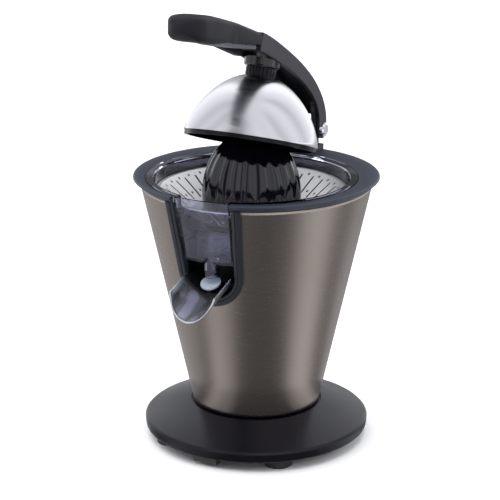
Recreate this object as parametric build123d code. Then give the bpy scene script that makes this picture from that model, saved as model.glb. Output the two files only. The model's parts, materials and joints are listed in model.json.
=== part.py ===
from build123d import *
import math
import os

# Lever-press citrus juicer, millimetres, +Z up, -Y is the front (spout side).
# Everything is drawn about the body axis at x = y = 0, with the floor FOOT_DROP below z = 0, and is
# moved by FRAME_Y and FRAME_Z when it is written, so that the origin is the middle of the footprint
# box on the floor.

# ---- body cone, base and ring ----
FOOT_Z = 6.0
BASE_R = 93.0
BASE_EDGE_Z = 13.5
FOOT_DROP = 3.0
FOOT_X, FOOT_Y, FOOT_R = 50.0, 57.5, 10.5
BODY_Z0, BODY_R0 = 27.5, 52.5
BODY_Z1, BODY_R1 = 214.0, 94.2
STEEL = 0.8
RING_R = 100.0
RING_Z0, RING_Z1 = 214.4, 220.0

# ---- bowl, strainer and reamer share one axis, a little ahead of the body axis ----
BOWL_Y = -8.5
RING_HOLE_R = 86.0
BOWL_FLOOR_Z = 184.0
STRAINER_R, STRAINER_Z = 77.0, 210.0
STRAINER_FOOT_R, STRAINER_FOOT_Z = 50.0, 191.0
STRAINER_SLOTS = 36
REAMER_R, REAMER_Z0, REAMER_SKIRT_Z, REAMER_Z1 = 40.0, 190.0, 205.0, 256.0
REAMER_RIBS, REAMER_GROOVE_Z = 20, 201.0

# ---- window in the front of the body ----
WINDOW_HALF_DEG = 15.6
BEZEL_HALF_DEG = 20.2
WINDOW_ARC_Z = 158.0
BEZEL_PROUD = 2.5
WELL_BACK_Y = -58.0
POCKET_FLOOR_Z = 166.5
NOZZLE_Y, NOZZLE_Z0, NOZZLE_R, NOZZLE_BORE_R = -76.0, 154.2, 6.5, 4.5

# ---- spout ----
SPOUT_SLOPE = 17.0
SPOUT_R, SPOUT_RISE = 20.3, 3.6
SPOUT_LIP = (0, -108.0, 147.7)
SPOUT_PIVOT_Y, SPOUT_PIVOT_Z = -69.0, 149.5

# ---- lever, hinge and press dome ----
HINGE_Y, HINGE_Z = 90.0, 239.0
LEVER_TILT = 19.0
ARM_HALF = 16.0
ARM_WALL = 3.0
KNUCKLE_R, KNUCKLE_HALF = 8.0, 9.0
PIN_R = 3.0
TIP_Y = -123.5
SEAM_Y = -20.0
DOME_R, DOME_H, DOME_POWER = 54.3, 52.8, 1.45
DOME_RIM_Z = 217.0
DOME_NECK_R = 12.0
NUT_R, NUT_Z0, NUT_Z1 = 12.8, 267.0, 275.3
COLLAR_R = 15.2

# ---- drive ----
GEAR_MODULE = 1.0
WHEEL_TEETH, PINION_TEETH = 54, 12
GEAR_BACKLASH = 0.25
SPINDLE_R = 4.0
RUNNING = 0.05
IDLER_X, IDLER_Y = 27.66, 9.5
MOTOR_Y, MOTOR_R, MOTOR_Z0, MOTOR_Z1 = 27.5, 26.0, 56.0, 104.0
MOTOR_SHAFT_R = 3.0
GEARBOX_X, GEARBOX_Y, GEARBOX_R = 13.0, 2.0, 48.5
GEARBOX_Z0, GEARBOX_Z1 = 117.0, 147.0

FRAME_Y = -(TIP_Y + RING_R) / 2
FRAME_Z = FOOT_DROP

NODES = {}


def save(name, *shapes):
    """Keep the solids of one node, moved into the part's own frame."""
    solids = [s for shape in shapes for s in shape.solids()]
    NODES[name] = Compound(children=[Pos(0, FRAME_Y, FRAME_Z) * s for s in solids])


def cylinder(r, z0, z1, x=0.0, y=0.0):
    """An upright rod."""
    return Pos(x, y, (z0 + z1) / 2) * Cylinder(r, z1 - z0)


def tube(r_out, r_in, z0, z1, x=0.0, y=0.0):
    return cylinder(r_out, z0, z1, x, y) - cylinder(r_in, z0 - 1, z1 + 1, x, y)


def block(x0, x1, y0, y1, z0, z1):
    centre = Pos((x0 + x1) / 2, (y0 + y1) / 2, (z0 + z1) / 2)
    return centre * Box(x1 - x0, y1 - y0, z1 - z0)


def rod_x(r, x0, x1, y, z):
    """A round rod along X."""
    return Pos((x0 + x1) / 2, y, z) * Rot(0, 90, 0) * Cylinder(r, x1 - x0)


def turned(points, y=0.0):
    """Turn an (r, z) outline about a vertical axis at the given y."""
    outline = Polyline([(r, 0, z) for r, z in points], close=True)
    return Pos(0, y, 0) * revolve(make_face(outline), Axis.Z, 360)


def side_plate(line, half, x_mid=0.0):
    """A plate with the (y, z) outline given by a closed line, centred on x_mid."""
    return Pos(x_mid, 0, 0) * extrude(make_face(line), half, both=True, dir=(1, 0, 0))


def yz(points):
    """Points in the plane x = 0."""
    return [(0, y, z) for y, z in points]


def cone_radius(z):
    """Outer radius of the body's cone at a height."""
    return BODY_R0 + (z - BODY_Z0) * (BODY_R1 - BODY_R0) / (BODY_Z1 - BODY_Z0)


def cone_solid(offset, z0, z1):
    """The body's cone between two heights, grown or shrunk by an offset."""
    r0, r1 = cone_radius(z0) + offset, cone_radius(z1) + offset
    return Pos(0, 0, (z0 + z1) / 2) * Cone(r0, r1, z1 - z0)


def window_prism(half_deg, z_top, flat_z=None):
    """A window outline seen from the front, pushed through the front wall of the body."""
    sine = math.sin(math.radians(half_deg))
    x_top, x_arc = cone_radius(z_top) * sine, cone_radius(WINDOW_ARC_Z) * sine
    if flat_z is None:
        sides = Polyline([(-x_arc, 0, WINDOW_ARC_Z), (-x_top, 0, z_top), (x_top, 0, z_top),
                          (x_arc, 0, WINDOW_ARC_Z)])
        bottom = ThreePointArc((x_arc, 0, WINDOW_ARC_Z), (0, 0, WINDOW_ARC_Z - x_arc),
                               (-x_arc, 0, WINDOW_ARC_Z))
        outline = sides + bottom
    else:
        x_flat = cone_radius(flat_z) * sine
        outline = Polyline([(-x_flat, 0, flat_z), (-x_top, 0, z_top), (x_top, 0, z_top),
                            (x_flat, 0, flat_z)], close=True)
    return extrude(make_face(outline), 130, dir=(0, -1, 0))


def around(shape, count, y=0.0, start=0.0):
    """Copies of a shape turned about a vertical axis at the given y."""
    step = 360 / count
    return [Pos(0, y, 0) * Rot(0, 0, start + i * step) * shape for i in range(count)]


def tilted(shape):
    """Swing a piece drawn with the dome upright up to the lever's rest position."""
    return Pos(0, HINGE_Y, HINGE_Z) * Rot(-LEVER_TILT, 0, 0) * Pos(0, -HINGE_Y, -HINGE_Z) * shape


def lowest(shape):
    """The lowest solid of a piece that was cut through."""
    return sorted(shape.solids(), key=lambda solid: solid.center().Z)[0]


def largest(shape):
    """The biggest solid of a cut piece."""
    return sorted(shape.solids(), key=lambda solid: solid.volume)[-1]


# ---------------------------------------------------------------- base

def foot_places():
    """The (x, y) of the four feet."""
    return [(i * FOOT_X, j * FOOT_Y) for i in (-1, 1) for j in (-1, 1)]


def base_group():
    """Base plate, cover, feet, screws, front lug and the cord's inlet."""
    vent_r0, vent_r1 = 24, 46
    screw_r, pillar_r = 70, 4.5
    gland_z = 9.4
    screw_angles = (0, 90, 180, 270)
    plate = turned([(6, 24.6), (6, 27), (48.2, 27), (48.2, 34), (50.6, 34), (50.6, 26.8), (54.6, 26.8),
                    (91.2, 14.2), (92.4, 13.5), (BASE_R, 12.4), (92.6, 6), (91.6, 5), (88.6, 5),
                    (88.8, 10.6), (50, 23), (48.2, 24.6)])
    for pillar in around(cylinder(pillar_r, 8.6, 18.5, screw_r), 4):
        plate += pillar
    for hole in around(cylinder(1.5, 8, 15, screw_r), 4):
        plate -= hole
    gland_hole = Pos(0, 91, gland_z) * Rot(90, 0, 0) * Cylinder(3.6, 12)
    gland_room = Pos(0, 84.4, gland_z) * Rot(90, 0, 0) * Cylinder(4.5, 8.4)
    save("base_plate", plate - gland_hole - gland_room)

    cover = cylinder(88.2, 6, 8.5)
    for slot in around(block(vent_r0, vent_r1, -1.5, 1.5, 5, 10), 16, start=11.25):
        cover -= slot
    for hole in around(cylinder(1.5, 5, 10, screw_r), 4):
        cover -= hole
    for x, y in foot_places():
        cover -= cylinder(3, 5, 10, x, y)
    cover -= Pos(0, 88, gland_z) * Rot(90, 0, 0) * Cylinder(4.6, 12)
    save("base_cover", cover)

    foot = turned([(0, -FOOT_DROP), (FOOT_R, -FOOT_DROP), (FOOT_R + 0.8, 0.8 - FOOT_DROP),
                   (FOOT_R + 1.5, FOOT_Z), (3, FOOT_Z), (3, 8.5), (0, 8.5)])
    save("rubber_feet", *[Pos(x, y, 0) * foot for x, y in foot_places()])

    head = cylinder(3, 4.4, 6, screw_r) - block(screw_r - 3, screw_r + 3, -0.5, 0.5, 4, 4.9)
    screw = head + cylinder(1.5, 6, 14, screw_r)
    save("base_screws", *[Rot(0, 0, a) * screw for a in screw_angles])

    lug = side_plate(Polyline(yz([(-90.6, 5), (-80, 5), (-80, 0.4), (-89.6, 0.4)]), close=True), 10.5)
    save("front_lug", lug)

    gland_line = Pos(0, 91, gland_z) * Rot(90, 0, 0)
    gland = gland_line * Cylinder(3.5, 9) + Pos(0, 95.5, gland_z) * Rot(90, 0, 0) * Cylinder(4.3, 4)
    gland += Pos(0, 86.6, gland_z) * Rot(90, 0, 0) * Cylinder(4.3, 2.4)
    bore = Pos(0, 92, gland_z) * Rot(90, 0, 0) * Cylinder(3, 30)
    save("cord_gland", gland - bore)

    save("terminal_block", block(-12, 12, 52, 64, 8.5, 15))


# ---------------------------------------------------------------- body and its frame

def body_group():
    """Steel cone, top ring, the frame inside it, the bowl's shelf and the spout's well."""
    shell = cone_solid(0, BODY_Z0, BODY_Z1) - cone_solid(-STEEL, BODY_Z0 - 0.01, BODY_Z1 + 0.01)
    shell -= window_prism(18.0, 222)
    save("body_shell", shell)

    ring = turned([(0, RING_Z0), (95.4, RING_Z0), (RING_R, 219), (99.4, RING_Z1), (0, RING_Z1)])
    ring += cone_solid(-1.3, 207, RING_Z0) - cone_solid(-3.3, 206.9, RING_Z0 + 0.1)
    ring -= cylinder(RING_HOLE_R, 200, 230, 0, BOWL_Y)
    ring -= window_prism(16.0, 232)
    save("top_ring", ring)

    wall_out, wall_in = -1.4, -3.6
    frame = cone_solid(wall_out, 37, 205) - cone_solid(wall_in, 36, 206)
    frame += turned([(40, 34.2), (cone_radius(37) + wall_out - 0.3, 34.2),
                     (cone_radius(37) + wall_out - 0.3, 37.4), (40, 37.4)])
    deck = cone_solid(wall_in + 0.5, 113.5, 117)
    deck -= cylinder(44, 110, 120, GEARBOX_X, GEARBOX_Y)
    deck -= cylinder(24.5, 110, 120, 0, MOTOR_Y)
    frame += deck
    frame -= window_prism(18.6, 222)
    frame -= cylinder(RING_HOLE_R - 3, 183, 210, 0, BOWL_Y)
    save("inner_frame", frame)

    shelf = cone_solid(wall_in - 0.3, 180, 183) - block(-90, 90, -95, -54, 170, 190)
    shelf += tube(64, 60, 183, BOWL_FLOOR_Z, 0, BOWL_Y) - block(-90, 90, -95, -54, 170, 190)
    shelf += cylinder(9, 170, 190, 0, BOWL_Y)
    shelf -= cylinder(7, 160, 200, 0, BOWL_Y)
    save("bowl_shelf", shelf)

    well = cone_solid(-4.2, 128, 179) & window_prism(18.0, 222)
    well &= block(-60, 60, -120, WELL_BACK_Y + 2, 120, 179)
    hollow = window_prism(16.4, 222) & block(-60, 60, -130, WELL_BACK_Y, 120, 230)
    well -= hollow
    for side in (-1, 1):
        well -= rod_x(1.5, side * 24 - 6, side * 24 + 6, SPOUT_PIVOT_Y, SPOUT_PIVOT_Z)
    save("spout_well", well)


def bezel():
    """Raised frame round the window."""
    outer, inner = BEZEL_HALF_DEG, WINDOW_HALF_DEG
    face = cone_solid(BEZEL_PROUD, 125, 214.4) - cone_solid(0.05, 124, 215)
    face &= window_prism(outer, 222)
    lip = cone_solid(BEZEL_PROUD, 125, 214.4) - cone_solid(-4.1, 124, 215)
    lip &= window_prism(17.6, 222)
    frame = (face + lip) - window_prism(inner, 230)
    frame -= cylinder(RING_HOLE_R, 206, 230, 0, BOWL_Y)
    save("spout_bezel", frame)


# ---------------------------------------------------------------- bowl, strainer, reamer

def bowl_group():
    """Juice bowl with its front pocket and nozzle, the strainer and the reamer."""
    z0 = BOWL_FLOOR_Z
    outer = turned([(0, z0), (74.6, z0), (76.6, 206), (79.6, 208), (80.6, 217.6), (85.6, 218.4),
                    (85.6, 219.8), (0, 219.8)], BOWL_Y)
    inner = turned([(0, z0 + 2), (72.6, z0 + 2), (74.6, 209.2), (77.6, 209.2), (78.8, 218),
                    (80.4, 221), (0, 221)], BOWL_Y)
    pocket_out = cone_solid(-0.4, POCKET_FLOOR_Z, 219.8) & window_prism(15.0, 222, POCKET_FLOOR_Z)
    pocket_out &= block(-60, 60, -120, -60, POCKET_FLOOR_Z, 219.8)
    pocket_in = cone_solid(-2.4, POCKET_FLOOR_Z + 2, 222) & window_prism(13.5, 223, POCKET_FLOOR_Z + 2)
    pocket_in &= block(-60, 60, -120, -62, POCKET_FLOOR_Z + 2, 222)
    nozzle = cylinder(NOZZLE_R, NOZZLE_Z0, POCKET_FLOOR_Z + 0.5, 0, NOZZLE_Y)
    bowl = (outer + pocket_out) - inner - pocket_in + nozzle
    bowl += cylinder(11.4, z0, 198, 0, BOWL_Y)
    bowl -= cylinder(9.4, z0 - 1, 199, 0, BOWL_Y)
    bowl -= cylinder(NOZZLE_BORE_R, NOZZLE_Z0 - 1, POCKET_FLOOR_Z + 3, 0, NOZZLE_Y)
    save("juice_bowl", bowl)

    sheet = STEEL / math.cos(math.atan2(STRAINER_Z - STRAINER_FOOT_Z, 74.2 - STRAINER_FOOT_R))
    strainer = turned([(STRAINER_R, STRAINER_Z), (STRAINER_R, STRAINER_Z - STEEL),
                       (74.4, STRAINER_Z - STEEL), (74.2, STRAINER_Z - sheet),
                       (STRAINER_FOOT_R, STRAINER_FOOT_Z - sheet), (41, STRAINER_FOOT_Z - sheet),
                       (41, STRAINER_FOOT_Z), (STRAINER_FOOT_R, STRAINER_FOOT_Z),
                       (74.2, STRAINER_Z)], BOWL_Y)
    slot = block(53, 70, -0.8, 0.8, 188, 212)
    dots = [cylinder(1.0, 188, 212, r) for r in (58, 71)]
    pitch = 360 / STRAINER_SLOTS
    cutters = around(slot, STRAINER_SLOTS, BOWL_Y)
    for dot in dots:
        cutters += around(dot, STRAINER_SLOTS, BOWL_Y, start=pitch / 2)
    strainer -= cutters
    hub = cylinder(STRAINER_FOOT_R, 180, 200, 0, BOWL_Y)
    save("strainer", strainer - hub)
    save("strainer_hub", strainer & hub)

    save("reamer", reamer())


def dome_points(radius, height, z0, inset=0.0, steps=8):
    """Quarter ellipse (r, z) from the rim up to the top of a reamer dome."""
    angles = [math.pi / 2 * i / steps for i in range(steps + 1)]
    return [((radius - inset) * math.cos(a), z0 + (height - inset) * math.sin(a)) for a in angles]


def reamer():
    """Hollow ribbed cone with a boss for the spindle."""
    height = REAMER_Z1 - REAMER_SKIRT_Z
    valley = 3.0

    def dome(inset):
        arc = dome_points(REAMER_R, height, REAMER_SKIRT_Z, inset)
        points = [(REAMER_R - inset, 0, REAMER_Z0)] + [(r, 0, z) for r, z in arc]
        curve = Spline(points[1:], tangents=[(0, 0, 1), (-1, 0, 0)])
        rest = Polyline([points[-1], (0, 0, REAMER_Z0), points[0], points[1]])
        return revolve(make_face(curve + rest), Axis.Z, 360)

    crest = dome(0)
    fins = None
    for i in range(REAMER_RIBS // 2):
        fin = Rot(0, 0, i * 360 / REAMER_RIBS) * block(-60, 60, -1.4, 1.4, REAMER_Z0, REAMER_Z1)
        fins = fin if fins is None else fins + fin
    body = dome(valley) + (crest & fins)
    body += crest & block(-60, 60, -60, 60, REAMER_Z0, REAMER_GROOVE_Z)
    body -= dome(valley + 2.6) - cylinder(7.5, 200, 260)
    body -= cylinder(SPINDLE_R, REAMER_Z0 - 1, 240)
    return Pos(0, BOWL_Y, 0) * body


# ---------------------------------------------------------------- spout

def spout_frame(shape):
    """Put a piece drawn along local +X (outwards) and +Z (up) on the spout's sloped line."""
    lean = Location(Plane(origin=SPOUT_LIP, x_dir=(0, -math.cos(math.radians(SPOUT_SLOPE)),
                                                   -math.sin(math.radians(SPOUT_SLOPE))),
                          z_dir=(0, -math.sin(math.radians(SPOUT_SLOPE)),
                                 math.cos(math.radians(SPOUT_SLOPE)))))
    return lean * shape


def gutter(r_out, r_in, back, front):
    """Half-round channel whose upper edges lie in the local plane z = 0."""
    mid = Pos((front - back) / 2, 0, SPOUT_RISE) * Rot(0, 90, 0)
    pipe = mid * Cylinder(r_out, front + back) - mid * Cylinder(r_in, front + back + 2)
    return pipe & block(-back - 5, front + 5, -r_out - 1, r_out + 1, -r_out - 1, 0)


def spout_group():
    """Gutter, the carrier it is fixed to, the drip disc and the pivot pins."""
    back, reach, lip_depth = 28.0, 14.2, 16.7
    trough = gutter(SPOUT_R, SPOUT_R - STEEL, back, 20)
    cut = Polyline([(0, 0, 0), (reach, 0, -lip_depth), (1.3 * reach, 0, -1.3 * lip_depth),
                    (40, 0, -40), (40, 0, 5), (0, 0, 5)], close=True)
    trough -= extrude(make_face(cut), 40, both=True, dir=(0, 1, 0))
    save("spout", spout_frame(trough))

    seat_r = SPOUT_R - STEEL - 0.05
    seat = gutter(seat_r, seat_r - 2, 43, -24)
    carrier = spout_frame(seat)
    carrier &= block(-30, 30, -95, -66, 125, 154.5)
    for side in (-1, 1):
        x0, x1 = sorted((side * 16.0, side * 19.2))
        carrier += rod_x(3.2, x0, x1, SPOUT_PIVOT_Y, SPOUT_PIVOT_Z)
    carrier += block(-1.5, 1.5, -81, -75, 141.5, 146.5)
    for side in (-1, 1):
        x0, x1 = sorted((side * 16.0, side * 20.5))
        carrier -= rod_x(1.5 + RUNNING, x0, x1, SPOUT_PIVOT_Y, SPOUT_PIVOT_Z)
    disc_tilt = 25.0
    disc_place = Pos(0, -77.8, 149.1) * Rot(disc_tilt, 0, 0)
    disc = disc_place * (Cylinder(8.2, 1.2) + Pos(0, 0, -1.6) * Cylinder(2.5, 2.0))
    save("spout_carrier", carrier - disc)
    save("drip_stop_disc", disc)

    pins = []
    for side in (-1, 1):
        x0, x1 = sorted((side * 17.0, side * 24.0))
        pins.append(rod_x(1.5, x0, x1, SPOUT_PIVOT_Y, SPOUT_PIVOT_Z))
    save("spout_pivot_pins", *pins)


# ---------------------------------------------------------------- lever arm and handle

CREST = [(TIP_Y, 364.0), (-116, 367.0), (-93.5, 364.2), (-67, 356.5), (-39.5, 347.0), (-10.5, 336.0),
         (18, 321.6), (39, 309.6), (60.5, 295.4), (77, 281.6), (89, 268.0), (96, 255.0), (98, 244.0)]
UNDER = [(TIP_Y, 352.0), (-112, 346.8), (-85.7, 339.6), (-65.7, 334.6), (-41.3, 329.4), (-24, 325.6),
         (-6, 318.2), (10, 310.4), (28.6, 301.0), (45.5, 291.2), (60.8, 280.6), (71.8, 271.0),
         (79.8, 261.0), (83.4, 252.0), (84, 244.0)]
SEAM_LEAN = 3.4 / 9.0


def seam_y(z):
    """The seam between grip and arm leans forward towards the underside."""
    return SEAM_Y + (z - 337) * SEAM_LEAN


def profile(drop=0.0, rise=0.0):
    """Side outline between the crest lowered by drop and the underside raised by rise."""
    top = Spline(yz([(y, z - drop) for y, z in CREST]))
    low = Spline(yz([(y, z + rise) for y, z in UNDER]))
    return make_face(Curve() + [top, low, Line(top @ 0, low @ 0), Line(top @ 1, low @ 1)])


def lever_envelope(half, drop=0.0, rise=0.0):
    """The whole lever as a bar of the given half width."""
    return extrude(profile(drop, rise), half, both=True, dir=(1, 0, 0))


def behind_seam(gap=0.0):
    """Space behind the seam, moved back by gap."""
    z_top, z_low = 380, 290
    line = Polyline(yz([(seam_y(z_top) + gap, z_top), (seam_y(z_low) + gap, z_low), (60, 200),
                        (200, 200), (200, z_top)]), close=True)
    return side_plate(line, 40)


def ahead_of_seam(gap=0.0):
    """Space ahead of the seam, moved forward by gap."""
    z_top, z_low = 380, 290
    line = Polyline(yz([(seam_y(z_top) - gap, z_top), (seam_y(z_low) - gap, z_low), (-200, z_low),
                        (-200, z_top)]), close=True)
    return side_plate(line, 40)


def rounded_tip(half):
    """Everything inside the handle's plan: straight sides and a half-round tip."""
    return block(-half, half, TIP_Y + half, 0, 280, 400) + cylinder(half, 280, 400, 0, TIP_Y + half)


def arm_skin(drop_out, drop_in):
    """Closed side outline of a skin that follows the crest between two depths."""
    outer = Spline(yz([(y, z - drop_out) for y, z in CREST]))
    inner = Spline(yz([(y, z - drop_in) for y, z in CREST]))
    return Curve() + [outer, inner, Line(outer @ 0, inner @ 0), Line(outer @ 1, inner @ 1)]


def lever_ear_room():
    """Where the ears may be: inside the arm and between its cheeks."""
    return lever_envelope(ARM_HALF) + block(-ARM_HALF, ARM_HALF, 80, 97, 230, 262)


def pin_cap(side):
    """A low chamfered cap on the outer face of a cheek."""
    cap_r, straight, chamfer = 6.0, 2.4, 1.2
    cap = cylinder(cap_r, ARM_HALF, ARM_HALF + straight)
    cap += Pos(0, 0, ARM_HALF + straight + chamfer / 2) * Cone(cap_r, cap_r - 1.8, chamfer)
    return Pos(0, HINGE_Y, HINGE_Z) * Rot(0, side * 90, 0) * cap


def arm_group():
    """Hollow arm, its liner, the handle's two covers and the hinge fittings."""
    cheek_low_z = 231.0
    rear = lever_envelope(ARM_HALF) & behind_seam()
    heel = block(-ARM_HALF, ARM_HALF, 84, 98, cheek_low_z + 2, 244.2)
    heel += rod_x(7.0, -ARM_HALF, ARM_HALF, 91, cheek_low_z + 7)
    inner = ARM_HALF - ARM_WALL
    cavity_top = Spline(yz([(y, z - ARM_WALL) for y, z in CREST]))
    low_y = CREST[-1][0] - ARM_WALL
    cavity_line = cavity_top + Polyline([cavity_top @ 1, (0, low_y, 225), (0, -30, 225), (0, -130, 300),
                                         cavity_top @ 0])
    cavity = side_plate(cavity_line, inner) & behind_seam(2.5)
    knuckle_gap = block(-inner, inner, 60, 110, 220, 249.5)
    arm = (rear + heel) - cavity - knuckle_gap
    core = lever_envelope(9, drop=6, rise=5) & block(-20, 20, -92, 20, 280, 400)
    core &= ahead_of_seam(-2.6)
    arm += core
    arm -= rod_x(PIN_R, -40, 40, HINGE_Y, HINGE_Z)
    save("lever_arm", arm)

    liner = side_plate(arm_skin(ARM_WALL + 0.05, ARM_WALL + 2.0), inner - 0.1)
    liner = (liner & behind_seam(3)) - block(-20, 20, 60, 110, 220, 250.5)
    save("arm_liner", liner)

    grip = lever_envelope(ARM_HALF) & ahead_of_seam() & rounded_tip(ARM_HALF)
    strip = lever_envelope(ARM_HALF - 1) & ahead_of_seam(1.0) & rounded_tip(ARM_HALF - 1)
    strip -= lever_envelope(40, rise=4.6)
    pocket = lever_envelope(9.05, drop=5.95, rise=4.95) & block(-20, 20, -92.1, 20, 280, 400)
    save("handle_grip", (grip & lever_envelope(40, rise=4.6)) - pocket)
    save("handle_lower_cover", strip - pocket)
    hinge_fittings(inner)


def hinge_fittings(inner):
    """Ears, washers, pin and caps that sit in and on the arm's cheeks."""
    ears, caps, washers = [], [], []
    ear_line = Polyline(yz([(81.5, 233.5), (81.5, 247), (78.5, 265), (85, 252), (96.5, 246),
                            (96.5, 233.5)]), close=True)
    for side in (-1, 1):
        ear = side_plate(ear_line, 1.7, side * (inner - 1.75)) & lever_ear_room()
        ears.append(ear - rod_x(PIN_R, -40, 40, HINGE_Y, HINGE_Z))
        washer = rod_x(7, *sorted((side * 9.08, side * 9.5)), HINGE_Y, HINGE_Z)
        washers.append(washer - rod_x(PIN_R, -40, 40, HINGE_Y, HINGE_Z))
        caps.append(pin_cap(side))
    save("hinge_ears", *ears)
    save("hinge_washers", *washers)
    save("hinge_pin", rod_x(PIN_R, -ARM_HALF, ARM_HALF, HINGE_Y, HINGE_Z))
    save("pin_caps", *caps)


# ---------------------------------------------------------------- press dome and collar

def dome_radius(height):
    """Outer radius of the press dome at a height above its rim."""
    return DOME_R * math.sqrt(max(0.0, 1 - (height / DOME_H) ** DOME_POWER))


def dome_outline(inset, neck_r):
    """(r, z) points of the dome's section from the rim up to the neck."""
    top = DOME_H * (1 - (neck_r / DOME_R) ** 2) ** (1 / DOME_POWER)
    heights = [top * (1 - (1 - i / 8) ** 1.6) for i in range(9)]
    return [(dome_radius(h) - inset, 0, DOME_RIM_Z + h) for h in heights]


def dome_skin(outset, inset, neck_r):
    """A skin of the press dome between two insets."""
    outer = Spline(dome_outline(outset, neck_r))
    inner = Spline(dome_outline(inset, neck_r))
    line = Curve() + [outer, inner, Line(outer @ 0, inner @ 0), Line(outer @ 1, inner @ 1)]
    return revolve(make_face(line), Axis.Z, 360)


def place_dome(shape):
    """Move a piece drawn about the vertical dome axis to the lever's rest position."""
    return tilted(Pos(0, BOWL_Y, 0) * shape)


def lever_envelope_above():
    """Everything above the underside of the arm's liner."""
    skin = Spline(yz([(y, z - ARM_WALL - 2.1) for y, z in CREST]))
    line = skin + Polyline([skin @ 1, (0, 200, 300), (0, 200, 450), (0, -200, 450), skin @ 0])
    return side_plate(line, 40)


def dome_group():
    """Press dome, liner, lip and nut, and the collar, stem and fairing that hold them on the arm."""
    lip_depth, lip_r, lip_height = 3.2, 53.4, 18.0
    stem_r, nut_ribs = 8.0, 24
    save("press_dome", place_dome(dome_skin(0, STEEL, DOME_NECK_R)))

    liner = dome_skin(STEEL + 0.05, STEEL + 2.0, DOME_NECK_R) - cylinder(60, 200, DOME_RIM_Z)
    liner += tube(lip_r, lip_r - 3.2, DOME_RIM_Z - lip_depth, DOME_RIM_Z)
    lower = block(-80, 80, -80, 80, DOME_RIM_Z - 10, DOME_RIM_Z + lip_height)
    save("dome_liner", place_dome(liner - lower))
    save("dome_lip", place_dome(liner & lower))

    nut = tube(NUT_R - 0.7, stem_r + RUNNING, NUT_Z0 + 0.4, NUT_Z1)
    for rib in around(cylinder(0.9, NUT_Z0 + 0.8, NUT_Z1, NUT_R - 0.9), nut_ribs):
        nut += rib
    nut_foot = tube(DOME_NECK_R - 1.3, stem_r + RUNNING, NUT_Z0 - 4, NUT_Z0 + 0.4)
    nut_flange = tube(DOME_NECK_R + 3, stem_r + RUNNING, NUT_Z0 - 7, NUT_Z0 - 4)
    save("dome_nut", place_dome((nut + nut_foot + nut_flange) - dome_skin(-0.02, 2.9, DOME_NECK_R)))

    envelope = lever_envelope(ARM_HALF + 0.1)
    collar = turned([(stem_r + 0.02, NUT_Z1 + 0.3), (13.6, NUT_Z1 + 0.3), (14.6, NUT_Z1 + 1.2),
                     (COLLAR_R, 284), (COLLAR_R, 300), (stem_r + 0.02, 300)])
    save("collar", lowest(place_dome(collar) - envelope))

    stem = cylinder(stem_r, NUT_Z0 - 8.6, 312) + cylinder(stem_r + 3.5, NUT_Z0 - 10.5, NUT_Z0 - 8.6)
    stem -= cylinder(2.0, 250, 275)
    save("dome_stem", lowest(place_dome(stem) - lever_envelope_above()))

    line = Polyline(yz([(-62, 333.6), (-30, 327.4), (-8, 319.4), (0, 314.2), (-14, 314.6), (-34, 322.6)]),
                    close=True)
    fairing = side_plate(line, 8) - place_dome(cylinder(COLLAR_R + 0.05, NUT_Z0, 320)) - envelope
    save("arm_fairing", largest(fairing))


# ---------------------------------------------------------------- hinge post

def hinge_group():
    """Post on the ring with the hinge's bush."""
    post = block(-14, 14, 79, 97, RING_Z1, 225) + block(-KNUCKLE_HALF, KNUCKLE_HALF, 82, 98, 225, HINGE_Z)
    post += rod_x(KNUCKLE_R, -KNUCKLE_HALF, KNUCKLE_HALF, HINGE_Y, HINGE_Z)
    bush_r = PIN_R + 1.5
    post -= rod_x(bush_r, -40, 40, HINGE_Y, HINGE_Z)
    save("hinge_post", post)
    bush = rod_x(bush_r, -KNUCKLE_HALF, KNUCKLE_HALF, HINGE_Y, HINGE_Z)
    save("hinge_bush", bush - rod_x(PIN_R + RUNNING, -40, 40, HINGE_Y, HINGE_Z))


# ---------------------------------------------------------------- motor, gears, spindle, switch

def involute(radius, base_r):
    """Polar angle of an involute from its start to the given radius."""
    pressure = math.acos(base_r / radius)
    return math.tan(pressure) - pressure


def gear(teeth, tip_deg, z0, z1, x, y, bore):
    """Spur gear with involute flanks and one tooth centred on tip_deg."""
    pitch_r = GEAR_MODULE * teeth / 2
    base_r = pitch_r * math.cos(math.radians(20))
    tip_r, root_r = pitch_r + 0.75 * GEAR_MODULE, pitch_r - 1.1 * GEAR_MODULE
    half_pitch = (math.pi / 2 - GEAR_BACKLASH / GEAR_MODULE) / teeth + involute(pitch_r, base_r)
    start_r = max(base_r, root_r)
    radii = [start_r + (tip_r - start_r) * i / 3 for i in range(4)]
    flank = [(r, half_pitch - involute(r, base_r)) for r in radii]
    if root_r < base_r:
        flank.insert(0, (root_r, half_pitch - involute(start_r, base_r)))
    points = []
    for tooth in range(teeth):
        middle = math.radians(tip_deg) + 2 * math.pi * tooth / teeth
        for r, a in flank:
            points.append((r * math.cos(middle - a), r * math.sin(middle - a)))
        for r, a in reversed(flank):
            points.append((r * math.cos(middle + a), r * math.sin(middle + a)))
    wheel = extrude(make_face(Polyline(points, close=True)), z1 - z0)
    return Pos(x, y, z0) * wheel - cylinder(bore, z0 - 1, z1 + 1, x, y)


def heading(x0, y0, x1, y1):
    return math.degrees(math.atan2(y1 - y0, x1 - x0))


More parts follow.
